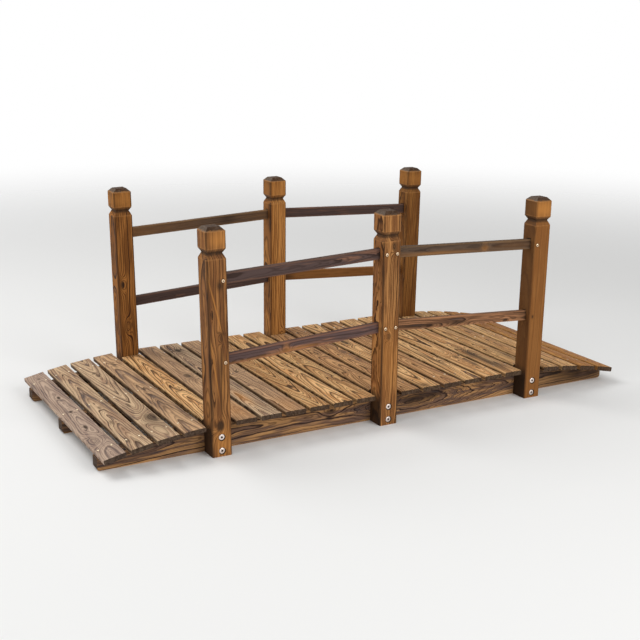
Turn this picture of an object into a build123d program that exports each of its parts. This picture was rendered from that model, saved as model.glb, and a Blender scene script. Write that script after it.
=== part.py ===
from build123d import *
import math
import os

# A small garden footbridge of charred softwood, in millimetres: twenty-three boards on
# three planks on edge, with six moulded posts and four pairs of rails.
# X runs along the bridge, Y across it and Z up. The origin is on the ground, under the
# middle of the deck. The front is the -Y side and the left is the -X end.

# Deck
deck_length = 1500.0  # from end to end, measured level
board_count = 23
board_length = 668.0
board_width = 54.0
board_thick = 12.0
board_arris = 1.5  # rounding of the long upper edges
board_end_arris = 1.0  # rounding of the upper edges at the two ends
deck_height = 82.5  # top of the level stretch above the ground
level_half = 400.0  # half of the level stretch; beyond it the deck curves down
end_drop = 40.0  # how far the deck's top falls at each end
post_boards = (5, 12, 19)  # the shorter boards, each between a pair of posts
post_board_play = 2.0  # between the end of such a board and the post

# Stringers: three planks on edge that carry the boards
stringer_thick = 30.0
stringer_corner = 8.0  # rounding of the lower corner at each end
stringer_recess = 0.0  # how far a stringer stops short of the deck's end

# Posts
post_size = 50.0  # side of the square shaft
post_height = 550.0
post_arris = 2.0  # chamfer of the long edges
post_proud = 1.0  # how far a post stands out past the ends of the boards
post_fan = 1.1  # degrees that the end posts lean outwards

# Moulded head of a post, from the top down
cap_rise = 10.0  # height of the four slopes on top
cap_inset = 10.0  # how far the slopes reach in
head_block = 40.0  # upright sides above the groove
groove_upper = 11.0  # height of the groove's upper bevel
groove_lower = 14.0  # height of the groove's lower bevel
groove_depth = 7.0

# Shallow round recesses for the two bolts at the foot of each post
bolt_heights = (14.0, 48.0)
bolt_recess_diameter = 17.0
bolt_recess_depth = 3.0

# Rails: two between each pair of posts on a side, their ends let into the posts
rail_thick = 14.0  # along Y
rail_height = 27.0
rail_arris = 1.5
tenon_length = 20.0  # how deep a rail's end sits in a post
mortise_play = 2.0  # beside, above and behind a rail's end
upper_rail_middle = 442.5  # height of the upper rail's centre line at the middle post
upper_rail_end = 425.0  # and at an end post
lower_rail_middle = 254.0
lower_rail_end = 230.0

# Worked-out values
half_length = deck_length / 2
ramp_reach = half_length - level_half
ramp_radius = (ramp_reach**2 + end_drop**2) / (2 * end_drop)
half_arc = level_half + ramp_radius * math.asin(ramp_reach / ramp_radius)
board_pitch = (2 * half_arc - board_width) / (board_count - 1)
middle_board = (board_count + 1) // 2
post_face = board_length / 2 + post_proud  # outer face of a post, from the middle
stringer_face = post_face - post_size  # outer face of an outer stringer
post_line = post_face - post_size / 2  # middle of a post, and of the rails
fan = math.radians(post_fan)
upper_rail = (upper_rail_middle, upper_rail_end)
lower_rail = (lower_rail_middle, lower_rail_end)


def deck_point(along):
    """Point x, z and slope in degrees on the deck's top line, a distance along it."""
    past = abs(along) - level_half
    if past <= 0:
        return along, deck_height, 0.0
    side = math.copysign(1.0, along)
    turn = past / ramp_radius
    x = side * (level_half + ramp_radius * math.sin(turn))
    z = deck_height - ramp_radius * (1 - math.cos(turn))
    return x, z, side * math.degrees(turn)


def board_point(number):
    return deck_point((number - middle_board) * board_pitch)


def deck_board(number):
    """A flat board whose underside touches the stringers along its middle."""
    length = board_length
    if number in post_boards:
        length = 2 * (stringer_face - post_board_play)
    board = Pos(0, 0, -board_thick / 2) * Box(board_width, length, board_thick)
    for direction, radius in ((Axis.Y, board_arris), (Axis.X, board_end_arris)):
        top = board.faces().sort_by(Axis.Z)[-1]
        board = fillet(top.edges().filter_by(direction), radius)
    x, z, slope = board_point(number)
    return Pos(x, 0, z) * Rot(0, slope, 0) * board


def stringer(y_middle):
    """A plank on edge, straight below, that follows the undersides of the boards."""
    seat = deck_height - board_thick
    radius = ramp_radius - board_thick
    end_x = half_length - stringer_recess
    turn = math.asin((end_x - level_half) / radius)

    def on_ramp(angle):
        return level_half + radius * math.sin(angle), seat - radius * (1 - math.cos(angle))

    end_z = on_ramp(turn)[1]
    half_x, half_z = on_ramp(turn / 2)
    outline = (
        Line((-end_x, 0), (end_x, 0))
        + Line((end_x, 0), (end_x, end_z))
        + ThreePointArc((end_x, end_z), (half_x, half_z), (level_half, seat))
        + Line((level_half, seat), (-level_half, seat))
        + ThreePointArc((-level_half, seat), (-half_x, half_z), (-end_x, end_z))
        + Line((-end_x, end_z), (-end_x, 0))
    )
    side = make_face(Plane.XZ * outline)
    plank = extrude(side, amount=stringer_thick / 2, both=True)
    low_corners = plank.edges().filter_by(Axis.Y).group_by(Axis.Z)[0]
    return Pos(0, y_middle, 0) * fillet(low_corners, stringer_corner)


def post_blank():
    """An upright post: a shaft with cut edges, and the head sawn from all four sides."""
    below = post_size  # extra length, cut off level with the ground once the post leans
    half = post_size / 2
    cap_edge = post_height - cap_rise
    block_foot = cap_edge - head_block
    neck = block_foot - groove_upper
    shoulder = neck - groove_lower
    right = [
        (half, -below),
        (half, shoulder),
        (half - groove_depth, neck),
        (half, block_foot),
        (half, cap_edge),
        (half - cap_inset, post_height),
    ]
    left = [(-x, z) for x, z in reversed(right)]
    section = chamfer(Rectangle(post_size, post_size).vertices(), post_arris)
    shaft = extrude(Pos(0, 0, -below) * section, amount=below + post_height)
    outline = make_face(Plane.XZ * Polyline(*right, *left, close=True))
    head = extrude(outline, amount=half, both=True)
    return shaft & head & Rot(0, 0, 90) * head


def rail_line(levels, x_side):
    """Middle point, length and slope of a rail, from the middle post to an end post."""
    at_middle, at_end = levels
    base = post_base(1)
    near = post_size / 2
    far = base + at_end * math.tan(fan) - near / math.cos(fan)
    length = math.hypot(far - near, at_end - at_middle) + 2 * tenon_length
    slope = math.degrees(math.atan2(at_middle - at_end, far - near))
    middle = (x_side * (near + far) / 2, (at_middle + at_end) / 2)
    return middle, length, x_side * slope


def rail(levels, x_side, y_side):
    """A bar with softened long edges."""
    (x, z), length, slope = rail_line(levels, x_side)
    bar = Box(length, rail_thick, rail_height)
    bar = fillet(bar.edges().filter_by(Axis.X), rail_arris)
    return Pos(x, y_side * post_line, z) * Rot(0, slope, 0) * bar


def rail_room(levels, x_side, y_side):
    """The room that a rail takes up in the posts: it rests on the mortise's floor."""
    (x, z), length, slope = rail_line(levels, x_side)
    room = Box(
        length + 2 * mortise_play,
        rail_thick + 2 * mortise_play,
        rail_height + mortise_play,
    )
    room = Pos(0, 0, mortise_play / 2) * room
    return Pos(x, y_side * post_line, z) * Rot(0, slope, 0) * room


def post_base(x_side):
    """Where a post's middle line meets the ground, under the middle of its board."""
    x, z, _ = board_point(post_boards[-1])
    return x_side * (x - (z - board_thick) * math.tan(fan))


def post(x_side, y_side):
    """A post in its place, with its mortises and bolt recesses, its foot cut level."""
    made = post_blank()
    for height in bolt_heights:
        recess = Cylinder(bolt_recess_diameter / 2, 2 * bolt_recess_depth)
        made -= Pos(0, y_side * post_size / 2, height) * Rot(90, 0, 0) * recess
    made = Pos(post_base(x_side), y_side * post_line, 0) * Rot(0, x_side * post_fan, 0) * made
    for levels in (upper_rail, lower_rail):
        for bay in (-1, 1):
            if x_side in (0, bay):
                made -= rail_room(levels, bay, y_side)
    ground = Box(4 * post_size, 4 * post_size, 4 * post_size)
    return made - Pos(post_base(x_side), y_side * post_line, -2 * post_size) * ground


def all_pieces():
    """Every piece by its name."""
    pieces = {}
    for number in range(1, board_count + 1):
        pieces[f"deck_board_{number:02d}"] = deck_board(number)
    outer_middle = stringer_face - stringer_thick / 2
    for name, y in (("front", -outer_middle), ("middle", 0.0), ("back", outer_middle)):
        pieces[f"stringer_{name}"] = stringer(y)
    for y_name, y_side in (("front", -1), ("back", 1)):
        for x_name, x_side in (("left", -1), ("middle", 0), ("right", 1)):
            pieces[f"post_{y_name}_{x_name}"] = post(x_side, y_side)
        for x_name, x_side in (("left", -1), ("right", 1)):
            for height, levels in (("upper", upper_rail), ("lower", lower_rail)):
                pieces[f"rail_{y_name}_{x_name}_{height}"] = rail(levels, x_side, y_side)
    return pieces


if __name__ == "__main__":
    os.makedirs("parts", exist_ok=True)
    for name, piece in all_pieces().items():
        export_step(piece, f"parts/{name}.step")
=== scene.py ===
import math
import random
from dataclasses import dataclass

import bpy
from mathutils import Matrix, Vector


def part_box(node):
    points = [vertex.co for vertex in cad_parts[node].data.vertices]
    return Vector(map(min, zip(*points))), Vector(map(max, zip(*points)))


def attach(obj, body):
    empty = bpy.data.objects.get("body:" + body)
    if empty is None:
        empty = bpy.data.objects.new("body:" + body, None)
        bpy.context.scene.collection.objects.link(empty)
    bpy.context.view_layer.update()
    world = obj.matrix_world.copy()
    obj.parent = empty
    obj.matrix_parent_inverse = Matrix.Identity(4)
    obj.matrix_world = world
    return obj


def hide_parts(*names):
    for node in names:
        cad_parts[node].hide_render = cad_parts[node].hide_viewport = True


# The looks of a small garden footbridge of charred and brushed softwood. Objects are in metres.
# The grain of the wood, and places in a piece's own frame, are in millimetres.

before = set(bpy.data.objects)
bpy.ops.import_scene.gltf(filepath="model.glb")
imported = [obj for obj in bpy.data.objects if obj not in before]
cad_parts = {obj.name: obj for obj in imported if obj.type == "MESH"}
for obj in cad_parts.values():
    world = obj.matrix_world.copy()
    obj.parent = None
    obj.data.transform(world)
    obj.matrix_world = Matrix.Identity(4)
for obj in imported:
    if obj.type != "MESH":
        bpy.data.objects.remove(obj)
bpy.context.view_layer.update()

MM = 0.001


class Field:
    """A socket's value, as a term that can stand in sums. Each sum adds its Math node."""

    def __init__(self, nodes, socket):
        self.nodes = nodes
        self.socket = socket

    def output(self, name):
        """Another output of the same node."""
        return Field(self.nodes, self.socket.node.outputs[name])

    def __add__(self, other):
        return calculate("ADD", self, other)

    def __sub__(self, other):
        return calculate("SUBTRACT", self, other)

    def __rsub__(self, other):
        return calculate("SUBTRACT", other, self)

    def __mul__(self, other):
        return calculate("MULTIPLY", self, other)

    def __truediv__(self, other):
        return calculate("DIVIDE", self, other)

    def __rtruediv__(self, other):
        return calculate("DIVIDE", other, self)

    def __abs__(self):
        return calculate("ABSOLUTE", self)

    def __neg__(self):
        return calculate("MULTIPLY", self, -1.0)

    __radd__ = __add__
    __rmul__ = __mul__


class Nodes:
    """A node tree, for a material or for geometry, whose nodes are all added by one method."""

    def __init__(self, tree):
        self.tree = tree
        tree.nodes.clear()

    def add(self, kind, settings=None, sockets=None, output=0):
        """Adds a node: its settings first, then its sockets' values or links, several as a list."""
        node = self.tree.nodes.new(kind)
        for name, value in (settings or {}).items():
            setattr(node, name, value)
        for name, value in (sockets or {}).items():
            for source in value if isinstance(value, list) else [value]:
                if isinstance(source, Field):
                    self.tree.links.new(source.socket, node.inputs[name])
                else:
                    node.inputs[name].default_value = source
        return Field(self, node.outputs[output]) if len(node.outputs) else node


def calculate(operation, *terms):
    """Adds a Math node, whose terms are fields or plain numbers."""
    nodes = next(term.nodes for term in terms if isinstance(term, Field))
    return nodes.add("ShaderNodeMath", {"operation": operation}, dict(enumerate(terms)))


def smooth(field, low, high):
    """0 below low, 1 above high and a smooth step between."""
    sockets = {"Value": field, "From Min": low, "From Max": high}
    return field.nodes.add("ShaderNodeMapRange", {"interpolation_type": "SMOOTHSTEP"}, sockets)


def blend(factor, first, second):
    """A Mix node for two colours, each a field or three numbers."""
    nodes = next(term.nodes for term in (factor, first, second) if isinstance(term, Field))
    first, second = (c if isinstance(c, Field) else (*c, 1.0) for c in (first, second))
    # A Mix node takes its colours at 6 and 7 and gives them at 2
    sockets = {0: factor, 6: first, 7: second}
    return nodes.add("ShaderNodeMix", {"data_type": "RGBA"}, sockets, output=2)


def split(vector):
    """The three numbers of a vector field."""
    numbers = vector.nodes.add("ShaderNodeSeparateXYZ", {}, {"Vector": vector})
    return [numbers.output(axis) for axis in "XYZ"]


def lumps(place, size, seed, detail):
    """Noise from -1 to 1, whose lumps measure size along, across and outwards."""
    scale = tuple(1.0 / s for s in size)
    start = (seed * 7.31 % 97, seed * 3.17 % 89, seed * 5.93 % 83)
    spread = place.nodes.add(
        "ShaderNodeMapping", {}, {"Vector": place, "Location": start, "Scale": scale}
    )
    noise = place.nodes.add(
        "ShaderNodeTexNoise", {}, {"Vector": spread, "Scale": 1.0, "Detail": detail}
    )
    return noise * 2.0 - 1.0


class Member:
    """A wooden piece's own frame: along its grain, across it and outwards from its best face."""

    def __init__(self, node, along, across, outward):
        self.node = node
        self.axes = (along, across, outward)
        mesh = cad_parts[node].data
        low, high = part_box(node)
        self.middle = (low + high) / 2
        self.upright = along[0] == 2
        # The largest face to the right, on a post, or on top shows how the piece leans
        flats = [f for f in mesh.polygons if f.normal[0 if self.upright else 2] > 0.9]
        normal = max(flats, key=lambda face: face.area).normal
        level, rise = (normal.x, -normal.z) if self.upright else (normal.z, normal.x)
        self.tilt = math.atan2(rise, level)
        self.turn = Matrix.Rotation(self.tilt, 3, "Y")
        places = [self.own(vertex.co) for vertex in mesh.vertices]
        self.half = [max(abs(place[index]) for place in places) for index in range(3)]

    def own(self, point):
        """A point's distances along, across and outwards in the piece's own frame."""
        place = self.turn.transposed() @ (Vector(point) - self.middle) / MM
        return [sign * place[axis] for axis, sign in self.axes]

    def at(self, along, across, outward):
        """The place in the bridge's frame of a point in the piece's own, in millimetres."""
        own = Vector((0, 0, 0))
        for (axis, sign), distance in zip(self.axes, (along, across, outward)):
            own[axis] = sign * distance * MM
        return self.middle + self.turn @ own


@dataclass
class Knot:
    """A knot: where it lies, its reach along and across, its rings and how dark its heart is."""

    along: float
    across: float
    length: float = 12.0
    width: float = 7.0
    rings: float = 2.5
    heart: float = 0.8


@dataclass
class Patch:
    """A patch on the best face, charred or brushed clean: its place, its reach and its strength."""

    along: float
    across: float
    length: float
    width: float
    strength: float = 0.7
    slant: float = 0.0  # degrees that it turns from the grain


@dataclass
class Grain:
    """How a piece was sawn from its log, and how it was finished."""

    tone: str
    seed: int
    ring: float = 6.0  # mean width of a ring
    heart_across: float = 0.0  # where the log's heart lies across the piece
    heart_under: float = 16.0  # and how far under its best face
    taper: float = 0.07  # how much the rings close in along the piece, which draws arches
    char: float = 0.35  # share of blue-grey char in the late wood
    knots: tuple = ()
    burns: tuple = ()  # charred patches
    brushed: tuple = ()  # patches brushed clean of char
    lines: float = 1.0  # how strongly the late wood shows
    cover: float = 0.5  # share of the early wood that took the stain
    sides: float = 0.3  # how bright the side faces are beside the best face; below 1 they are darkened with char and painted shade


# How each piece was sawn and finished: its tone, seed, ring, heart across and under, taper and
# char, then what is special to it. The deck's boards are numbered from left to right.
BOARDS = {
    1: Grain("ash", 3, 6.4, 4.0, 9.0, 0.06, 0.55, sides=1.0, cover=0.5, knots=(
        Knot(290, 2, 16, 6, 1.0, 0.6), Knot(114, 4, 18, 7, 1.0, 0.9), Knot(-2, 1, 14, 7, 1.0, 0.8),
        Knot(-122, 0, 24, 7, 1.2, 0.9), Knot(-215, -6, 42, 18, 6.0, 0.2))),
    2: Grain("tan", 7, 9.0, -4.0, 7.0, 0.09, 0.6, knots=(
        Knot(-40, -2, 24, 7, 0.5, 0.5), Knot(-150, -8, 28, 8, 0.5, 0.5),
        Knot(-275, -14, 30, 9, 0.5, 0.5))),
    3: Grain("tan", 12, 8.0, 2.0, 8.0, -0.1, 0.5, cover=0.35, knots=(
        Knot(205, -2, 16, 7, 0.6, 0.7), Knot(-78, -6, 30, 7, 0.6, 0.6),
        Knot(-191, 13, 46, 24, 6.0, 0.7)), burns=(Patch(-215, 8, 70, 24, 0.35),)),
    4: Grain("mauve", 17, 9.0, -4.0, 10.0, 0.09, 0.6, lines=0.9, knots=(
        Knot(240, -2, 60, 9, 0.8, 0.5), Knot(3, -2, 34, 5, 0.5, 0.5))),
    5: Grain("honey", 21, 9.0, 4.0, 8.0, 0.08, 0.4, cover=0.5, lines=1.35, knots=(
        Knot(58, 6, 26, 8, 0.8, 0.4), Knot(-50, 4, 34, 8, 1.0, 0.5),
        Knot(-150, -3, 26, 6, 0.5, 0.6))),
    6: Grain("mauve", 26, 7.0, 8.0, 12.0, 0.08, 0.3, lines=0.8, knots=(
        Knot(36, 3, 26, 12, 3.0, 0.7),), burns=(Patch(36, 3, 30, 12, 0.3),), brushed=(
        Patch(-260, 0, 80, 40, 0.35),)),
    7: Grain("tan", 31, 7.0, -12.0, 7.0, 0.08, 0.45, lines=1.5, cover=0.35, knots=(
        Knot(262, 0, 26, 14, 2.0, 0.9),), burns=(Patch(262, 0, 34, 18, 0.4),), brushed=(
        Patch(-190, -10, 60, 12, 0.5),)),
    8: Grain("mauve", 35, 5.4, -26.0, 22.0, 0.03, 0.3, lines=1.35, cover=0.35, knots=(
        Knot(10, -1, 20, 9, 1.5, 0.7),), brushed=(Patch(-290, 0, 70, 40, 0.25),)),
    9: Grain("golden", 44, 8.0, 2.0, 6.0, -0.16, 0.3, cover=0.6, lines=1.4, knots=(
        Knot(-160, 4, 20, 6, 1.0, 0.4),)),
    10: Grain("honey", 48, 10.0, 9.0, 8.0, 0.09, 0.25, cover=0.35, lines=1.3, knots=(
        Knot(-60, 0, 40, 10, 2.0, 0.2),)),
    11: Grain("golden", 52, 9.0, -6.0, 12.0, 0.1, 0.25, cover=0.45, lines=1.2, knots=(
        Knot(-170, 8, 24, 7, 2.0, 0.3), Knot(20, -4, 40, 9, 2.0, 0.2))),
    12: Grain("umber", 57, 8.0, 6.0, 9.0, 0.09, 0.4, lines=1.2, cover=0.4, knots=(
        Knot(60, 6, 40, 10, 2.0, 0.4), Knot(-120, -8, 40, 9, 1.5, 0.3))),
    13: Grain("umber", 61, 7.0, -9.0, 9.0, 0.08, 0.5, lines=1.25, cover=0.4, knots=(
        Knot(40, 14, 40, 12, 3.0, 0.5),)),
    14: Grain("honey", 66, 11.0, 3.0, 8.0, -0.08, 0.35, cover=0.4, lines=1.35, knots=(
        Knot(120, 0, 40, 12, 3.0, 0.7),), burns=(
        Patch(120, 0, 40, 14, 0.4), Patch(-316, -10, 18, 13, 0.7))),
    15: Grain("umber", 71, 9.0, -3.0, 9.0, 0.07, 0.35, cover=0.35, lines=1.2),
    16: Grain("honey", 75, 10.0, 12.0, 9.0, 0.06, 0.35, cover=0.3, lines=1.45, burns=(
        Patch(-140, 2, 70, 6, 0.8),)),
    17: Grain("honey", 83, 10.0, 0.0, 7.0, -0.08, 0.25, cover=0.35, lines=1.4, knots=(
        Knot(-152, 6, 24, 11, 2.5, 0.7),), burns=(
        Patch(-186, 15, 24, 7, 0.7), Patch(-226, 14, 24, 8, 0.7))),
    18: Grain("honey", 88, 10.0, 6.0, 9.0, 0.07, 0.3, cover=0.3, lines=1.2, knots=(
        Knot(-70, -2, 40, 12, 2.5, 0.2),), burns=(
        Patch(-144, -4, 54, 16, 0.9), Patch(-232, -6, 80, 13, 0.8), Patch(-270, 6, 70, 30, 0.35))),
    19: Grain("golden", 93, 9.0, -8.0, 10.0, 0.07, 0.4, lines=1.3, burns=(
        Patch(-196, 18, 50, 8, 0.7),)),
    20: Grain("golden", 99, 9.0, 3.0, 8.0, 0.08, 0.35, lines=1.35),
    21: Grain("golden", 104, 10.0, 10.0, 9.0, 0.07, 0.25, lines=1.2, cover=0.3),
    22: Grain("amber", 109, 9.0, -12.0, 12.0, 0.06, 0.2, lines=1.1, cover=0.35),
    23: Grain("amber", 113, 8.0, 4.0, 14.0, 0.06, 0.2, lines=1.05, cover=0.4, sides=0.6),
}
POSTS = {
    "front_left": Grain("post_amber", 202, 9.0, 30.0, 16.0, 0.02, 0.2, sides=0.9, cover=0.55,
        knots=(Knot(-105, -13, 85, 9, 2.0, 0.0), Knot(14, 6, 14, 8, 2.4, 0.45),
        Knot(72, -14, 16, 3, 0.8, 0.9), Knot(-198, -3, 24, 18, 2.0, 0.85)), burns=(
        Patch(-20, -24, 120, 5, 0.6), Patch(-150, -24, 60, 5, 0.6), Patch(-136, 1, 50, 3, 0.7),
        Patch(-40, 8, 60, 3, 0.5), Patch(139, 7, 10, 9, 0.8), Patch(170, -22, 70, 5, 0.4),
        Patch(-60, 1, 45, 7, 0.45), Patch(24, 9, 6, 8, 0.5)), brushed=(
        # The three thin slanted patches brushed clean are painted highlights along raised late wood
        Patch(246, 6, 22, 24, 0.55), Patch(-238, 4, 34, 26, 0.5), Patch(96, -8, 80, 1.5, 0.7, -13),
        Patch(-55, -13, 75, 1.5, 0.7, -7), Patch(-95, 6, 60, 1.5, 0.6, 4.5))),
    "front_middle": Grain("post_rose", 219, 6.4, 84.0, 20.0, 0.02, 0.1, sides=1.0, cover=0.5,
        lines=1.3, knots=(Knot(-41, -4, 16, 11, 3.0, 0.5), Knot(187, 7, 20, 9, 3.0, 0.5)), burns=(
        Patch(187, 7, 22, 10, 0.35), Patch(120, -24, 30, 4, 0.5), Patch(-120, -24, 60, 4, 0.4),
        Patch(100, 6, 80, 26, 0.25)), brushed=(Patch(-100, -8, 80, 36, 0.28),)),
    "front_right": Grain("post_plain", 226, 7.0, 90.0, 30.0, 0.02, 0.0, sides=0.45, lines=0.5,
        burns=(Patch(-46, -15, 5, 3, 0.95),), brushed=(Patch(244, 0, 24, 40, 0.65),)),
    "back_left": Grain("post_striped", 237, 7.5, -110.0, 24.0, 0.005, 0.0, sides=0.7, lines=1.3,
        cover=0.5, knots=(Knot(10, -13, 22, 9, 2.5, 0.8), Knot(-110, -6, 30, 12, 3.0, 0.3)),
        brushed=(Patch(244, 0, 24, 120, 0.7),)),
    "back_middle": Grain("post_far", 249, 8.0, 70.0, 22.0, 0.02, 0.1, sides=0.6, lines=1.1,
        cover=0.35, knots=(Knot(-215, 14, 36, 9, 3.0, 0.7),), brushed=(
        Patch(244, 0, 24, 120, 0.5),)),
    "back_right": Grain("post_umber", 258, 7.0, 60.0, 24.0, 0.03, 0.1, sides=0.7, lines=0.9,
        brushed=(Patch(244, 0, 24, 120, 0.6),)),
}
RAILS = {
    "front_left_upper": Grain("rail_dark", 303, 7.0, 4.0, 12.0, 0.03, 0.3, sides=0.5, cover=0.75,
        lines=1.2),
    "front_left_lower": Grain("rail_violet", 311, 7.0, -8.0, 10.0, 0.02, 0.3, sides=0.4, cover=0.85,
        knots=(Knot(-52, -5, 14, 9, 2.0, 0.4),), brushed=(
        Patch(-150, -12, 90, 4, 0.4), Patch(-20, -8, 70, 5, 0.5), Patch(-50, -2, 8, 12, 0.4))),
    "front_right_upper": Grain("rail_brown", 322, 7.0, 2.0, 10.0, -0.02, 0.2, sides=0.5, cover=0.85,
        knots=(Knot(61, 0, 12, 10, 2.5, 0.3),), burns=(Patch(30, 4, 24, 8, 0.4),), brushed=(
        Patch(-100, -8, 130, 5, 0.3), Patch(61, -2, 10, 9, 0.4), Patch(160, 0, 70, 12, 0.12))),
    "front_right_lower": Grain("rail_red", 330, 6.0, -6.0, 12.0, 0.03, 0.4, sides=0.6, lines=1.3,
        knots=(Knot(60, -10, 60, 9, 3.0, 0.0), Knot(142, -8, 14, 6, 1.2, 0.7)), burns=(
        Patch(-150, -5, 80, 5, 0.8), Patch(-15, -3, 44, 6, 0.7), Patch(205, 0, 34, 30, 0.5))),
    "back_left_upper": Grain("rail_brown", 341, 6.0, 3.0, 12.0, 0.02, 0.1, sides=0.8, cover=0.8,
        burns=(Patch(80, 2, 24, 24, 0.8),), brushed=(
        Patch(-250, 0, 90, 60, 0.3), Patch(-90, 0, 120, 50, 0.12), Patch(220, 0, 100, 50, 0.12))),
    "back_left_lower": Grain("rail_dark", 352, 6.0, -4.0, 10.0, 0.02, 0.25, sides=0.8, cover=0.9),
    "back_right_upper": Grain("rail_dark", 360, 6.0, 4.0, 12.0, 0.02, 0.25, sides=0.8, cover=0.9),
    "back_right_lower": Grain("post_plain", 371, 6.0, 0.0, 20.0, -0.01, 0.0, sides=0.8, lines=0.5,
        burns=(Patch(-195, 0, 20, 30, 0.7),)),
}
STRINGERS = {
    # On the front stringer, the burn at -610 along, by the top edge, is painted shade under the
    # deck
    "front": Grain("stringer", 403, 10.0, 0.0, 12.0, 0.04, 0.4, sides=0.6, lines=1.1, knots=(
        Knot(-140, 8, 26, 10, 1.5, 0.6), Knot(128, -4, 150, 60, -6.0, 0.0)), burns=(
        Patch(108, 0, 44, 16, 0.8), Patch(165, 3, 36, 11, 0.75), Patch(-610, 26, 150, 16, 0.65),
        Patch(640, 0, 120, 60, 0.75))),
    "middle": Grain("stringer", 415, 8.0, 6.0, 12.0, 0.03, 0.3, sides=0.6),
    "back": Grain("stringer", 427, 8.0, -4.0, 10.0, -0.03, 0.3, sides=0.6, knots=(
        Knot(230, 4, 24, 9, 2.0, 0.5),)),
}


def outer_side(name):
    """-1 for a piece on the front, 1 for one on the back."""
    return -1 if "front" in name else 1


def find_members():
    """Every wooden piece by its node's name, with its grain."""
    kinds = (
        ("deck_board_{:02d}", BOARDS, (1, 1), (0, 1)),
        ("post_{}", POSTS, (2, 1), (0, 1)),
        ("rail_{}", RAILS, (0, 1), (2, 1)),
        ("stringer_{}", STRINGERS, (0, 1), (2, 1)),
    )
    found = {}
    for pattern, grains, along, across in kinds:
        for key, grain in grains.items():
            node = pattern.format(key)
            outward = (2, 1) if grains is BOARDS else (1, outer_side(node))
            found[node] = (Member(node, along, across, outward), grain)
    return found


members = find_members()

# Where the fasteners sit, in millimetres
BOLT_PLACES = (14.0, 48.0)  # up a post, from the ground
RECESS_DEPTH = 3.0  # of the rounds that the bolts lie in
SCREW_FROM_END = 10.0  # of a rail
SUNK_SCREW = ("front_right_lower", 1)  # driven in so deep that only its dark hole shows
NAIL_SPREAD = 17.0  # to either side of a board's middle
NAIL_ROWS = (-270.0, 0.0, 270.0)  # over the three stringers
NAIL_STRAY_ALONG = 4.0  # how far a nail may miss its place along the board
NAIL_STRAY_ACROSS = 2.0  # and across it
BRIGHT_NAILS = (1, 2, 3, 4, 15, 20)  # boards whose nails were not stained over


def face_turn(member):
    """The turn that points a head out of an outer side face."""
    return (-member.axes[2][1] * math.pi / 2, 0.0, 0.0)


def bolt_spots():
    """Where the two bolts of each post stand, on the floors of their recesses."""
    for key in POSTS:
        post = members[f"post_{key}"][0]
        for height in BOLT_PLACES:
            place = post.at(height - post.half[0], 0.0, post.half[2] - RECESS_DEPTH)
            yield place, face_turn(post)


def screw_spots():
    """Where a screw's head shows on each post, over the end of each rail."""
    for key in RAILS:
        rail = members[f"rail_{key}"][0]
        post = members["post_" + key.split("_")[0] + "_middle"][0]
        face = post.at(0.0, 0.0, post.half[2]).y
        for end in (-1, 1):
            if (key, end) != SUNK_SCREW:
                place = rail.at(end * (rail.half[0] - SCREW_FROM_END), 0.0, 0.0)
                yield Vector((place.x, face, place.z)), face_turn(rail)


def nail_spots(bright):
    """Two nails through each board into each stringer: the bright ones or the stained ones."""
    chance = random.Random(7)
    for number in BOARDS:
        board = members[f"deck_board_{number:02d}"][0]
        for row in NAIL_ROWS:
            for side in (-1, 1):
                along = row + chance.uniform(-NAIL_STRAY_ALONG, NAIL_STRAY_ALONG)
                stray = chance.uniform(-NAIL_STRAY_ACROSS, NAIL_STRAY_ACROSS)
                across = side * NAIL_SPREAD + stray
                if (number in BRIGHT_NAILS) == bright:
                    yield board.at(along, across, board.half[2]), (0.0, board.tilt, 0.0)


# Wood finishes: early wood where it is bare, early wood where the stain took, and late wood
TONES = {
    "ash": ((0.52, 0.38, 0.28), (0.38, 0.265, 0.20), (0.12, 0.08, 0.065)),
    "tan": ((0.64, 0.45, 0.275), (0.41, 0.255, 0.155), (0.07, 0.037, 0.022)),
    "mauve": ((0.62, 0.39, 0.215), (0.35, 0.21, 0.12), (0.065, 0.034, 0.022)),
    "golden": ((0.75, 0.45, 0.20), (0.50, 0.255, 0.10), (0.06, 0.026, 0.008)),
    "honey": ((0.84, 0.51, 0.235), (0.60, 0.30, 0.115), (0.06, 0.026, 0.008)),
    "umber": ((0.62, 0.345, 0.155), (0.36, 0.17, 0.07), (0.065, 0.028, 0.010)),
    "amber": ((0.50, 0.24, 0.072), (0.34, 0.137, 0.036), (0.08, 0.030, 0.008)),
    "post_amber": ((0.43, 0.192, 0.062), (0.21, 0.085, 0.030), (0.030, 0.015, 0.008)),
    "post_rose": ((0.54, 0.25, 0.082), (0.27, 0.11, 0.036), (0.045, 0.017, 0.006)),
    "post_plain": ((0.30, 0.127, 0.036), (0.25, 0.098, 0.026), (0.10, 0.038, 0.011)),
    "post_far": ((0.74, 0.33, 0.088), (0.38, 0.145, 0.033), (0.065, 0.022, 0.006)),
    "post_striped": ((0.52, 0.21, 0.050), (0.27, 0.10, 0.022), (0.045, 0.016, 0.005)),
    "post_umber": ((0.38, 0.165, 0.040), (0.23, 0.085, 0.018), (0.05, 0.02, 0.007)),
    "rail_dark": ((0.22, 0.11, 0.07), (0.092, 0.060, 0.054), (0.045, 0.027, 0.022)),
    "rail_brown": ((0.25, 0.14, 0.062), (0.108, 0.070, 0.047), (0.045, 0.028, 0.020)),
    "rail_violet": ((0.36, 0.16, 0.09), (0.12, 0.076, 0.070), (0.045, 0.026, 0.022)),
    "rail_red": ((0.42, 0.20, 0.095), (0.19, 0.09, 0.046), (0.045, 0.022, 0.013)),
    "stringer": ((0.54, 0.29, 0.12), (0.19, 0.11, 0.075), (0.035, 0.02, 0.016)),
}
SLATE = (0.085, 0.068, 0.068)  # charred late wood, brushed to blue grey
# Soot of charred wood, which also serves as the colour of painted shade
SOOT_AND_SHADE = (0.032, 0.019, 0.012)
BRUSHED = (0.56, 0.235, 0.055)  # patches brushed clean of char
END_GRAIN = ((0.032, 0.019, 0.013), (0.10, 0.067, 0.047))  # sooty, and where it is rubbed
PAINTED_SHEEN = (0.17, 0.13, 0.10)  # painted sheen on the left slope on top of each post
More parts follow.
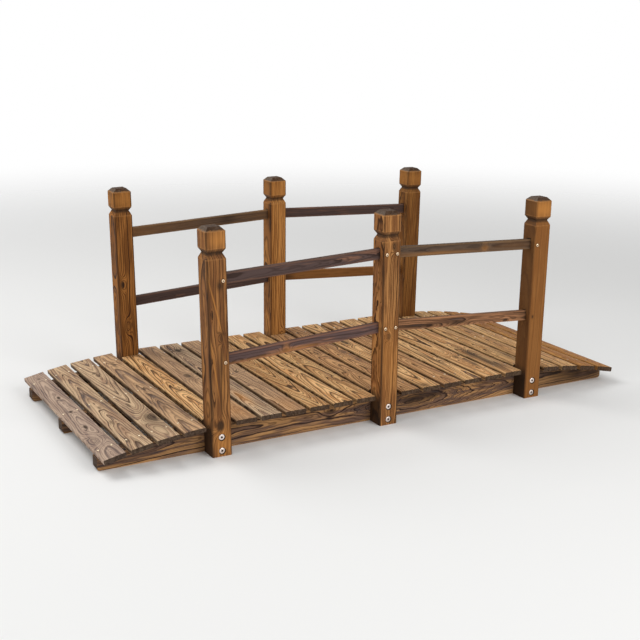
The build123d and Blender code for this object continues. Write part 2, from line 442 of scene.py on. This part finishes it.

# Noises in the grain: the size of their lumps along, across and outwards, their detail, and what
# they add to the piece's seed
NOISES = {
    "wander": ((230.0, 90.0, 90.0), 2.0, 0),
    "sink": ((130.0, 60.0, 60.0), 2.0, 11),
    "ripple": ((30.0, 10.0, 10.0), 3.0, 23),
    "fibre": ((110.0, 2.4, 2.4), 3.0, 37),
    "clouds": ((150.0, 22.0, 22.0), 2.0, 41),
    "streaks": ((80.0, 6.0, 6.0), 2.0, 53),
}
HEART_WANDER = 10.0  # how far the log's heart strays across a piece
HEART_SINK = 8.0  # and how far up and down in it
RING_RIPPLE = 1.5  # how far a ring's line wavers
KNOT_DEPTH = 400.0  # knots reach right through
PATCH_DEPTH = 6.0  # the least reach of a patch below the surface
RELIEF = 0.6 * MM  # depth of the brushed grain
LONG_EDGE = (4.4, 2.0)  # from a long edge: where its wear begins, and where it is full

# Marks on a post, in millimetres: on its head below its top, and on its foot above the ground
HEAD_EDGES = ((10.0, 0.4), (50.0, 0.15), (75.0, 0.2))  # with how strongly each edge takes its painted highlight and wear
HEAD_EDGE = (2.4, 0.8)  # from such an edge: where its painted highlight and wear begin, and where they are full
NECK = 61.0  # the bottom of the groove
NECK_SHADE = (8.0, 2.0)  # from the neck: where the painted shade begins, and where it is full
FOOT_SHADE = (95.0, 60.0)  # where the painted shade and char on the side faces begin, and where they are full
BOLT_SHADE = 8.5  # half the width of the painted shade round a bolt
SCREW_SHADE = 5.2  # and round a rail's screw
SHADE_DEPTH = 20.0


def distance_in(place, middle, reach, slant=0.0):
    """Distance from a point of the piece's own frame, where 1 is the given reach."""
    turn = (0.0, 0.0, math.radians(slant))
    sockets = {"Vector": place, "Location": middle, "Rotation": turn, "Scale": reach}
    own = place.nodes.add("ShaderNodeMapping", {"vector_type": "TEXTURE"}, sockets)
    return place.nodes.add(
        "ShaderNodeVectorMath", {"operation": "LENGTH"}, {0: own}, output="Value"
    )


def bell(distance):
    """1 in the middle, falling away softly beyond a distance of 1."""
    return calculate("EXPONENT", -(distance * distance))


def own_axes(nodes, member):
    """Distances along, across and outwards in the piece's own frame, in millimetres."""
    sockets = {
        "Vector": nodes.add("ShaderNodeTexCoord", output="Object"),
        "Location": member.middle,
        "Rotation": (0.0, member.tilt, 0.0),
        "Scale": (MM, MM, MM),
    }
    own = split(nodes.add("ShaderNodeMapping", {"vector_type": "TEXTURE"}, sockets))
    return [own[axis] if sign > 0 else -own[axis] for axis, sign in member.axes]


def grain_noise(place, grain, kind):
    """One of the grain's noises, as the piece's seed draws it."""
    size, detail, offset = NOISES[kind]
    return lumps(place, size, grain.seed + offset, detail)


def ring_field(member, grain, place, axes):
    """Distance from the log's heart, swollen round each knot, and the knots' dark hearts."""
    along, across, outward = axes
    wander, sink, ripple = (
        grain_noise(place, grain, kind) for kind in ("wander", "sink", "ripple")
    )
    sway = across + wander * HEART_WANDER - grain.heart_across
    under = outward + sink * HEART_SINK + (grain.heart_under - member.half[2])
    radius = calculate("SQRT", sway * sway + under * under)
    radius = radius + along * grain.taper + ripple * RING_RIPPLE
    hearts = None
    for knot in grain.knots:
        middle, reach = (knot.along, knot.across, 0.0), (knot.length, knot.width, KNOT_DEPTH)
        away = distance_in(place, middle, reach) + ripple * 0.15
        radius = radius + bell(away) * (knot.rings * grain.ring)
        if knot.heart:
            heart = smooth(away, 0.8, 0.3) * knot.heart
            hearts = heart if hearts is None else calculate("MAXIMUM", hearts, heart)
    return radius, hearts


def year_rings(radius, grain):
    """A number for each year, its late wood, that wood's crisp dark border, and fine lines."""
    turns = radius / grain.ring
    turns = turns + calculate("SINE", turns * 1.9 + grain.seed) * 0.3
    ring = calculate("FRACT", turns)
    year = radius.nodes.add(
        "ShaderNodeTexWhiteNoise",
        {"noise_dimensions": "1D"},
        {"W": calculate("FLOOR", turns) + grain.seed * 0.37},
    )
    start = year * 0.5 + 0.18
    late = smooth(ring, start, start + 0.34) * smooth(ring, 1.0, 0.94)
    border = smooth(ring, 0.74, 0.93) * smooth(ring, 1.0, 0.95)
    thread = calculate("FRACT", turns * 3.0 + year)
    thread = smooth(thread, 0.45, 0.85) * smooth(thread, 1.0, 0.88)
    return year, late, border, thread


def lay_patches(colour, place, member, grain, streaks):
    """The patches brushed clean, and over them the charred ones, all with streaky borders."""
    for patches, tint in ((grain.brushed, BRUSHED), (grain.burns, SOOT_AND_SHADE)):
        for patch in patches:
            middle = (patch.along, patch.across, member.half[2])
            reach = (patch.length, patch.width, max(patch.width, PATCH_DEPTH))
            away = distance_in(place, middle, reach, patch.slant) + streaks * 0.4
            colour = blend(bell(away) * patch.strength, colour, tint)
    return colour


def shade_head(colour, along, member, ragged):
    """Painted shade in a post's groove, and the edges of its head made pale with painted highlight
    and wear.
    """
    top = member.half[0]
    # Painted shade in the groove
    groove = smooth(abs(along - (top - NECK)) + ragged * 2.0, *NECK_SHADE)
    colour = blend(groove * 0.75, colour, SOOT_AND_SHADE)
    # Painted highlight, with some wear, along the edges of the head
    for below, highlight_and_wear in HEAD_EDGES:
        edge = smooth(abs(along - (top - below)) + ragged * 3.0, *HEAD_EDGE)
        colour = blend(edge * highlight_and_wear, colour, TONES["post_rose"][0])
    return colour


def shade_fasteners(colour, place, member):
    """Painted shade in the recesses of a post's bolts and round its screws."""
    spots = [(height - member.half[0], 0.0, BOLT_SHADE) for height in BOLT_PLACES]
    for screw, _ in screw_spots():
        along, across, outward = member.own(screw)
        if abs(across) < member.half[1] and outward > 0.0:
            spots.append((along, across, SCREW_SHADE))
    for along, across, reach in spots:
        middle = (along, across, member.half[2])
        away = distance_in(place, middle, (reach, reach, SHADE_DEPTH))
        # Painted shade round each bolt and screw
        colour = blend(smooth(away, 1.12, 0.95) * 0.85, colour, SOOT_AND_SHADE)
    return colour


def shade_faces(nodes, member, grain, colour, along, rubbed):
    """Darkens the side faces with char and painted shade, the back and the ends; on a post it also
    paints shade and char on the side faces near the ground, and a sheen on the left slopes of its
    top.
    """
    normal = split(nodes.add("ShaderNodeTexCoord", output="Normal"))
    facing_end, facing_side, facing_out = (normal[axis] for axis, _ in member.axes)
    side = smooth(abs(facing_side), 0.6, 0.9)
    back = smooth(facing_out * -float(member.axes[2][1]), 0.6, 0.9)
    # Side faces darkened with char and painted shade
    colour = blend(side * (1.0 - grain.sides), colour, SOOT_AND_SHADE)
    colour = blend(back * 0.25, colour, SOOT_AND_SHADE)
    end = smooth(abs(facing_end), 0.38, 0.72)
    colour = blend(end * 0.94, colour, blend(rubbed, *END_GRAIN))
    if member.upright:
        # Painted shade and char on the side faces near the ground
        foot = smooth(along + member.half[0], *FOOT_SHADE)
        colour = blend(side * foot * 0.88, colour, SOOT_AND_SHADE)
        # Painted sheen: the slopes on top of a post that face left are paler and greyer
        left_sheen = smooth(facing_end, 0.5, 0.68) * smooth(-facing_side, 0.3, 0.55)
        colour = blend(left_sheen * (0.35 + rubbed * 0.5), colour, PAINTED_SHEEN)
    return colour, end


def wood(name, member, grain):
    """Charred, brushed and oiled softwood: rings, knots, fibres, end grain and worn edges."""
    bare, stain, line = TONES[grain.tone]
    material = bpy.data.materials.new(name)
    material.use_nodes = True
    nodes = Nodes(material.node_tree)
    axes = own_axes(nodes, member)
    along, across, outward = axes
    place = nodes.add("ShaderNodeCombineXYZ", {}, dict(enumerate(axes)))
    radius, hearts = ring_field(member, grain, place, axes)
    year, late, border, thread = year_rings(radius, grain)
    fibre, clouds, streaks = (
        grain_noise(place, grain, kind) for kind in ("fibre", "clouds", "streaks")
    )

    # Early wood, bare or stained, then late wood, plain or charred, and the dark lines on it
    middle = 0.5 - grain.cover
    stained = smooth(clouds + streaks * 0.7 + fibre * 0.15, middle - 0.22, middle + 0.3)
    colour = blend(stained, bare, stain)
    colour = blend(smooth(fibre, -0.1, 0.7) * 0.28, colour, line)
    charred = smooth(streaks * 0.8 + clouds * 0.6, 0.45 - grain.char, 0.8 - grain.char)
    strength = late * (1.0 - year * 0.45) * grain.lines
    colour = blend(strength * 0.88, colour, blend(charred, stain, SLATE))
    colour = blend(border * (0.75 + year * 0.25) * grain.lines, colour, line)
    colour = blend(thread * (0.52 * grain.lines), colour, line)
    colour = lay_patches(colour, place, member, grain, streaks)
    if hearts is not None:
        colour = blend(hearts, colour, SOOT_AND_SHADE)

    # Faces, ends and edges
    rubbed = smooth(streaks + fibre * 0.5, -0.3, 0.6)
    colour, end = shade_faces(nodes, member, grain, colour, along, rubbed)
    to_edge = member.half[1] + member.half[2] - abs(across) - abs(outward)
    edge = smooth(to_edge + fibre * 1.6, *LONG_EDGE) * (1.0 - end)
    if member.upright:
        colour = blend(edge * (0.5 + charred * 0.3) * grain.lines, colour, SOOT_AND_SHADE)
        colour = shade_head(colour, along, member, streaks)
        colour = shade_fasteners(colour, place, member)
    else:
        colour = blend(edge * 0.35, colour, bare)

    height = fibre * 0.3 - strength * 0.8
    if hearts is not None:
        height = height - hearts * 0.8
    relief = {"Strength": 0.4, "Distance": RELIEF, "Height": height}
    sockets = {
        "Base Color": colour,
        "Roughness": 0.68 - late * 0.1 + fibre * 0.06,
        "Normal": nodes.add("ShaderNodeBump", {}, relief),
        "Specular IOR Level": 0.06,
    }
    shader = nodes.add("ShaderNodeBsdfPrincipled", {}, sockets)
    nodes.add("ShaderNodeOutputMaterial", {}, {"Surface": shader})
    return material


def metal(name, colour, seed, dull=0.3, bright=1.0):
    """Plated steel, a little dulled and speckled by the weather."""
    material = bpy.data.materials.new(name)
    material.use_nodes = True
    nodes = Nodes(material.node_tree)
    place = nodes.add("ShaderNodeTexCoord", output="Object")
    cloudy = lumps(place, (4 * MM, 4 * MM, 4 * MM), seed, detail=3.0)
    specks = lumps(place, (0.8 * MM, 0.8 * MM, 0.8 * MM), seed + 5, detail=2.0)
    dulled = smooth(cloudy + specks * 0.5, -0.1, 0.9)
    bump = {"Strength": 0.2, "Distance": 0.2 * MM, "Height": specks}
    sockets = {
        "Base Color": blend(dulled, colour, tuple(c * 0.65 for c in colour)),
        "Metallic": bright,
        "Roughness": dull + dulled * 0.25,
        "Normal": nodes.add("ShaderNodeBump", {}, bump),
    }
    shader = nodes.add("ShaderNodeBsdfPrincipled", {}, sockets)
    nodes.add("ShaderNodeOutputMaterial", {}, {"Surface": shader})
    return material


def dress(node, material):
    """Gives a CAD node its material."""
    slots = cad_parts[node].material_slots
    if not slots:
        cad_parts[node].data.materials.append(material)
    for slot in slots:
        slot.material = material


def new_tree(name, inputs):
    """A Geometry Nodes tree that takes a mesh and named sizes, and its group input."""
    group = bpy.data.node_groups.new(name, "GeometryNodeTree")
    for label, kind in {"Mesh": "Geometry", **inputs, "Finish": "Material"}.items():
        group.interface.new_socket(label, in_out="INPUT", socket_type=f"NodeSocket{kind}")
    group.interface.new_socket("Mesh", in_out="OUTPUT", socket_type="NodeSocketGeometry")
    nodes = Nodes(group)
    return nodes, nodes.add("NodeGroupInput")


def close_tree(nodes, given, shape, recess=None):
    """Makes a tree's instances real, sets their finishes and puts them out."""
    shape = nodes.add("GeometryNodeRealizeInstances", {}, {"Geometry": shape})
    sockets = {"Geometry": shape, "Material": given.output("Finish")}
    shape = nodes.add("GeometryNodeSetMaterial", {}, sockets)
    if recess:
        sockets = {"Geometry": shape, "Selection": recess, "Material": given.output("Recess")}
        shape = nodes.add("GeometryNodeSetMaterial", {}, sockets)
    nodes.add("NodeGroupOutput", {}, {0: shape})
    return nodes.tree


def grow(tree, name, start, inputs):
    """Runs a tree on a mesh, with its inputs set by identifier, and keeps the plain mesh."""
    piece = bpy.data.objects.new(name, start)
    bpy.context.scene.collection.objects.link(piece)
    modifier = piece.modifiers.new("maker", "NODES")
    modifier.node_group = tree
    for item in tree.interface.items_tree:
        if item.in_out == "INPUT" and item.name in inputs:
            modifier[item.identifier] = inputs[item.name]
    graph = bpy.context.evaluated_depsgraph_get()
    plain = bpy.data.meshes.new_from_object(piece.evaluated_get(graph))
    piece.modifiers.clear()
    piece.data = plain
    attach(piece, "root")
    return piece


# Worn boards
BOARD_SIZES = {"Length": "Float", "Width": "Float", "Thickness": "Float", "Arris": "Float"}
BOARD_ARRIS = 1.5 * MM
BOARD_WEAR = 1.0 * MM  # the deepest chip out of an edge
BOARD_STEP = 5 * MM  # between the stations along a board
END_WEAR = (6 * MM, 1 * MM)  # from a board's end: where its rags begin, and where they are full
CHIP_SCALE = 55.0  # of the noise that chips the edges
RAG_SCALE = 160.0  # and of the finer one at the ends


def worn_board_tree():
    """A straight board along Y, chipped along its edges and slightly ragged at its ends."""
    nodes, given = new_tree("worn_board", {**BOARD_SIZES, "Wear": "Float", "Seed": "Float"})
    length, width, thick, arris = (given.output(size) for size in BOARD_SIZES)
    wear = given.output("Wear")
    half = length * 0.5
    sockets = {
        "Start": nodes.add("ShaderNodeCombineXYZ", {}, {"Y": -half}),
        "End": nodes.add("ShaderNodeCombineXYZ", {}, {"Y": half}),
    }
    line = nodes.add("GeometryNodeCurvePrimitiveLine", {}, sockets)
    sockets = {"Curve": line, "Length": BOARD_STEP}
    line = nodes.add("GeometryNodeResampleCurve", {"mode": "LENGTH"}, sockets)
    sockets = {"Width": width, "Height": thick}
    section = nodes.add("GeometryNodeCurvePrimitiveQuadrilateral", {}, sockets)
    sockets = {"Curve": section, "Count": 2, "Radius": arris}
    section = nodes.add("GeometryNodeFilletCurve", {"mode": "POLY"}, sockets)
    section = nodes.add("GeometryNodeSubdivideCurve", {}, {"Curve": section, "Cuts": 1})
    sockets = {"Curve": line, "Profile Curve": section, "Fill Caps": True}
    board = nodes.add("GeometryNodeCurveToMesh", {}, sockets)

    # Chips out of the long edges and the ends' edges, and the saw's ragged cut
    place = nodes.add("GeometryNodeInputPosition")
    x, y, z = split(place)
    chips, rags = (
        nodes.add(
            "ShaderNodeTexNoise",
            {"noise_dimensions": "4D"},
            {"Vector": place, "W": given.output("Seed"), "Scale": scale, "Detail": 3.0},
        )
        for scale in (CHIP_SCALE, RAG_SCALE)
    )
    by_side = smooth(abs(x), width * 0.5 - arris * 2.0, width * 0.5 - arris * 0.5)
    by_face = smooth(abs(z), thick * 0.5 - arris * 2.0, thick * 0.5 - arris * 0.5)
    by_end = smooth(abs(y), *(half - distance for distance in END_WEAR))
    chip = smooth(chips, 0.5, 0.75) * wear
    on_edge = by_face * calculate("MAXIMUM", by_side, by_end)
    sockets = {
        "X": calculate("SIGN", x) * (chip * by_side * by_face * -1.0),
        "Y": calculate("SIGN", y) * (rags * wear * by_end * -1.0),
        "Z": calculate("SIGN", z) * (chip * on_edge * -0.8),
    }
    offset = nodes.add("ShaderNodeCombineXYZ", {}, sockets)
    board = nodes.add("GeometryNodeSetPosition", {}, {"Geometry": board, "Offset": offset})
    return close_tree(nodes, given, board)


def lay_worn_boards():
    """Puts a worn board in the place of each board of the deck."""
    tree = worn_board_tree()
    for node, (member, grain) in members.items():
        if not node.startswith("deck_board"):
            continue
        length, width, thick = (2.0 * half * MM for half in member.half)
        inputs = {
            "Length": length,
            "Width": width,
            "Thickness": thick,
            "Arris": BOARD_ARRIS,
            "Wear": BOARD_WEAR,
            "Seed": float(grain.seed),
            "Finish": wood(f"wood_{node}", member, grain),
        }
        board = grow(tree, f"worn_{node}", bpy.data.meshes.new(node), inputs)
        board.data.transform(Matrix.Translation(member.middle) @ member.turn.to_4x4())
        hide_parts(node)


# Heads of the fasteners: diameter, height and width of the drive
BOLT = (15 * MM, 2.0 * MM, 6.5 * MM)
SCREW = (8 * MM, 1.6 * MM, 4.6 * MM)
NAIL = (5.5 * MM, 1.0 * MM, 0.0)
DOME = ((0.3, 0.94), (0.2, 0.84))  # its two steps: rise as a share of the height, and scale
FLAT_TOP = 0.79  # what the dome leaves flat, as a share of the diameter
SOCKET_DEPTH = 0.9  # share of the height
CROSS_WIDTH = 0.3  # share of the cross's reach
HEAD_TILT = 0.05  # the most that a head leans each way, in radians
HEAD_SEED = 3
HEAD_INPUTS = {
    "Diameter": "Float", "Height": "Float", "Drive": "Float", "Seed": "Int", "Recess": "Material"
}


def raise_top(nodes, shape, top, height, scale):
    """Draws a mesh's top face up by a height and scales it. Gives the mesh and the new top."""
    sockets = {"Mesh": shape, "Selection": top, "Offset Scale": height, "Individual": False}
    shape = nodes.add("GeometryNodeExtrudeMesh", {}, sockets)
    top = shape.output("Top")
    sockets = {"Geometry": shape, "Selection": top, "Scale": scale}
    return nodes.add("GeometryNodeScaleElements", {}, sockets), top


def round_head(nodes, given, corners):
    """A domed head, its foot sunk by half its height."""
    height = given.output("Height")
    sockets = {"Vertices": corners, "Radius": given.output("Diameter") * 0.5, "Depth": height}
    shape = nodes.add("GeometryNodeMeshCylinder", {}, sockets)
    top = shape.output("Top")
    for share, scale in DOME:
        shape, top = raise_top(nodes, shape, top, height * share, scale)
    return shape, top


def mark_recess(nodes, shape, faces=True):
    """Notes which faces are inside a head's drive, for their darker finish."""
    settings = {"data_type": "BOOLEAN", "domain": "FACE"}
    sockets = {"Geometry": shape, "Name": "recess", "Value": faces}
    return nodes.add("GeometryNodeStoreNamedAttribute", settings, sockets)


def hex_drive(nodes, given, shape, top):
    """Sinks a six-sided socket into a head."""
    scale = given.output("Drive") / given.output("Diameter") / FLAT_TOP
    shape, top = raise_top(nodes, shape, top, 0.0, scale)
    x, y, z = split(nodes.add("GeometryNodeInputPosition"))
    corner = calculate("WRAP", calculate("ARCTAN2", y, x), math.pi / 6, -math.pi / 6)
    flat = math.cos(math.pi / 6) / calculate("COSINE", corner)
    sockets = {"X": x * flat, "Y": y * flat, "Z": z}
    sockets = {
        "Geometry": shape,
        "Selection": top,
        "Position": nodes.add("ShaderNodeCombineXYZ", {}, sockets),
    }
    shape = nodes.add("GeometryNodeSetPosition", {}, sockets)
    shape, floor = raise_top(nodes, shape, top, given.output("Height") * -SOCKET_DEPTH, 1.0)
    return mark_recess(nodes, shape, floor)


def cross_drive(nodes, given, shape, _):
    """Cuts a cross into a head."""
    reach, height = given.output("Drive"), given.output("Height")
    sockets = {"X": reach, "Y": reach * CROSS_WIDTH, "Z": height}
    size = nodes.add("ShaderNodeCombineXYZ", {}, sockets)
    bar = mark_recess(nodes, nodes.add("GeometryNodeMeshCube", {}, {"Size": size}))
    lift = nodes.add("ShaderNodeCombineXYZ", {}, {"Z": height})
    bars = [
        nodes.add(
            "GeometryNodeTransform",
            {},
            {"Geometry": bar, "Translation": lift, "Rotation": (0.0, 0.0, turn)},
        )
        for turn in (0.0, math.pi / 2)
    ]
    return nodes.add("GeometryNodeMeshBoolean", {}, {"Mesh 1": shape, "Mesh 2": bars})


def fastener_tree(name, corners, cut_drive=None):
    """Heads on a mesh's points, each turned to its face and spun and tilted by a seeded angle."""
    nodes, given = new_tree(name, HEAD_INPUTS)
    head, top = round_head(nodes, given, corners)
    if cut_drive:
        head = cut_drive(nodes, given, head, top)
    settings = {"data_type": "FLOAT_VECTOR"}
    turn = nodes.add("GeometryNodeInputNamedAttribute", settings, {"Name": "turn"})
    # The node's vector form has its least and most at 0 and 1 and its seed at 8
    sockets = {
        0: (-HEAD_TILT, -HEAD_TILT, -math.pi),
        1: (HEAD_TILT, HEAD_TILT, math.pi),
        8: given.output("Seed"),
    }
    spin = nodes.add("FunctionNodeRandomValue", settings, sockets)
    turn, spin = (
        nodes.add("FunctionNodeEulerToRotation", {}, {"Euler": angles}) for angles in (turn, spin)
    )
    sockets = {"Rotation": turn, "Rotate By": spin}
    turn = nodes.add("FunctionNodeRotateRotation", {"rotation_space": "LOCAL"}, sockets)
    sockets = {"Points": given, "Instance": head, "Rotation": turn}
    shape = nodes.add("GeometryNodeInstanceOnPoints", {}, sockets)
    settings = {"data_type": "BOOLEAN"}
    recess = nodes.add("GeometryNodeInputNamedAttribute", settings, {"Name": "recess"})
    return close_tree(nodes, given, shape, recess)


def points_mesh(name, spots):
    """A mesh of loose points, each with the turn that lays a head on its face."""
    mesh = bpy.data.meshes.new(name)
    mesh.from_pydata([place for place, _ in spots], [], [])
    turns = mesh.attributes.new("turn", "FLOAT_VECTOR", "POINT")
    for record, (_, turn) in zip(turns.data, spots):
        record.vector = turn
    return mesh


def add_fasteners():
    """Bolts in the posts' feet, screws into the rails' ends and nails in the boards."""
    grime = metal("grime", (0.05, 0.035, 0.03), 21, dull=0.6, bright=0.3)
    bolt = fastener_tree("bolt", 24, hex_drive), BOLT
    screw = fastener_tree("screw", 16, cross_drive), SCREW
    nail = fastener_tree("nail", 10), NAIL
    kinds = (
        ("bolts", bolt, bolt_spots(), metal("zinc_plate", (0.98, 0.85, 0.78), 5, dull=0.22)),
        ("rail_screws", screw, screw_spots(), metal("brass_plate", (0.88, 0.65, 0.43), 9)),
        ("nails", nail, nail_spots(True), metal("nail_steel", (0.68, 0.56, 0.38), 13)),
        ("stained_nails", nail, nail_spots(False), metal("stained_steel", (0.30, 0.20, 0.12), 17)),
    )
    for name, (tree, (diameter, height, drive)), spots, finish in kinds:
        inputs = {
            "Diameter": diameter,
            "Height": height,
            "Drive": drive,
            "Seed": HEAD_SEED,
            "Finish": finish,
            "Recess": grime,
        }
        grow(tree, name, points_mesh(name, list(spots)), inputs)


# Camera, at the photograph's viewing angle, in its own frame of 640 by 640 pixels
FRAME_PIXELS = 640
CAMERA_PLACE = (-1.504204, -2.694486, 1.036634)
CAMERA_YAW = 0.5116
CAMERA_PITCH = -0.2421
CAMERA_ROLL = 0.0100
FOCAL_PIXELS = 1162.19
MIDDLE_PIXEL = (328.228, 291.889)
SENSOR = 36.0

# Round lights: name, place, the point that they face, size and power
LIGHTS = (
    ("overhead", (-1.6, 1.4, 3.2), (0, 0, 0.2), 2.6, 64.0),
    ("front", (0.9, -3.4, 2.2), (0, 0, 0.25), 2.4, 67.0),
    ("left", (-3.4, -0.9, 1.5), (0, 0, 0.25), 2.0, 21.0),
)
AMBIENT = 0.42  # strength of the light from all round
WHITE = (1.0, 1.0, 1.0, 1.0)

FLOOR_COLOUR = (0.86, 0.86, 0.85, 1.0)
FLOOR_REACH = 6.0  # from the middle to each side
FLOOR_CORNERS = ((-1, -1), (1, -1), (1, 1), (-1, 1))
FLOOR_FADE = (1.4, 5.0)  # from the middle: where it begins to fade, and where it is gone


def add_camera():
    """The camera that took the photograph."""
    yaw, pitch, roll = CAMERA_YAW, CAMERA_PITCH, CAMERA_ROLL
    forward = Vector(
        (math.sin(yaw) * math.cos(pitch), math.cos(yaw) * math.cos(pitch), math.sin(pitch))
    )
    level = Vector((math.cos(yaw), -math.sin(yaw), 0))
    upward = level.cross(forward)
    right = math.cos(roll) * level + math.sin(roll) * upward
    top = math.cos(roll) * upward - math.sin(roll) * level
    data = bpy.data.cameras.new("camera")
    data.sensor_width = SENSOR
    data.lens = SENSOR * FOCAL_PIXELS / FRAME_PIXELS
    data.shift_x = (FRAME_PIXELS / 2 - MIDDLE_PIXEL[0]) / FRAME_PIXELS
    data.shift_y = (MIDDLE_PIXEL[1] - FRAME_PIXELS / 2) / FRAME_PIXELS
    camera = bpy.data.objects.new("camera", data)
    turn = Matrix((right, top, -forward)).transposed().to_4x4()
    camera.matrix_world = Matrix.Translation(CAMERA_PLACE) @ turn
    bpy.context.scene.collection.objects.link(camera)
    bpy.context.scene.camera = camera


def add_light(name, place, target, size, power):
    """A white light that faces a point."""
    data = bpy.data.lights.new(name, "AREA")
    data.shape = "DISK"
    data.size = size
    data.energy = power
    light = bpy.data.objects.new(name, data)
    aim = (Vector(target) - Vector(place)).to_track_quat("-Z", "Y")
    light.matrix_world = Matrix.Translation(place) @ aim.to_matrix().to_4x4()
    bpy.context.scene.collection.objects.link(light)


def add_world():
    """Soft light from all round, and plain white where the camera or a reflection sees it."""
    world = bpy.data.worlds.new("studio")
    bpy.context.scene.world = world
    world.use_nodes = True
    nodes = Nodes(world.node_tree)
    path = nodes.add("ShaderNodeLightPath", output="Is Camera Ray")
    seen = calculate("MAXIMUM", path, path.output("Is Glossy Ray"))
    seen = calculate("MAXIMUM", seen, path.output("Is Transmission Ray"))
    soft, plain = (
        nodes.add("ShaderNodeBackground", {}, {"Color": WHITE, "Strength": strength})
        for strength in (AMBIENT, 1.0)
    )
    surface = nodes.add("ShaderNodeMixShader", {}, {0: seen, 1: soft, 2: plain})
    nodes.add("ShaderNodeOutputWorld", {}, {"Surface": surface})


def add_floor():
    """A plain pale floor that fades into the white around it."""
    mesh = bpy.data.meshes.new("floor")
    corners = [(x * FLOOR_REACH, y * FLOOR_REACH, 0) for x, y in FLOOR_CORNERS]
    mesh.from_pydata(corners, [], [(0, 1, 2, 3)])
    floor = bpy.data.objects.new("floor", mesh)
    bpy.context.scene.collection.objects.link(floor)
    material = bpy.data.materials.new("floor")
    material.use_nodes = True
    nodes = Nodes(material.node_tree)
    place = nodes.add("ShaderNodeTexCoord", output="Object")
    out = nodes.add("ShaderNodeVectorMath", {"operation": "LENGTH"}, {0: place}, output="Value")
    fade = smooth(out, *FLOOR_FADE)
    matt = nodes.add("ShaderNodeBsdfDiffuse", {}, {"Color": FLOOR_COLOUR})
    clear = nodes.add("ShaderNodeBsdfTransparent")
    surface = nodes.add("ShaderNodeMixShader", {}, {0: fade, 1: matt, 2: clear})
    nodes.add("ShaderNodeOutputMaterial", {}, {"Surface": surface})
    mesh.materials.append(material)


for node, (member, grain) in members.items():
    if not node.startswith("deck_board"):
        dress(node, wood(f"wood_{node}", member, grain))
lay_worn_boards()
add_fasteners()
add_camera()
for light in LIGHTS:
    add_light(*light)
add_world()
add_floor()
bpy.context.scene.view_settings.view_transform = "Standard"
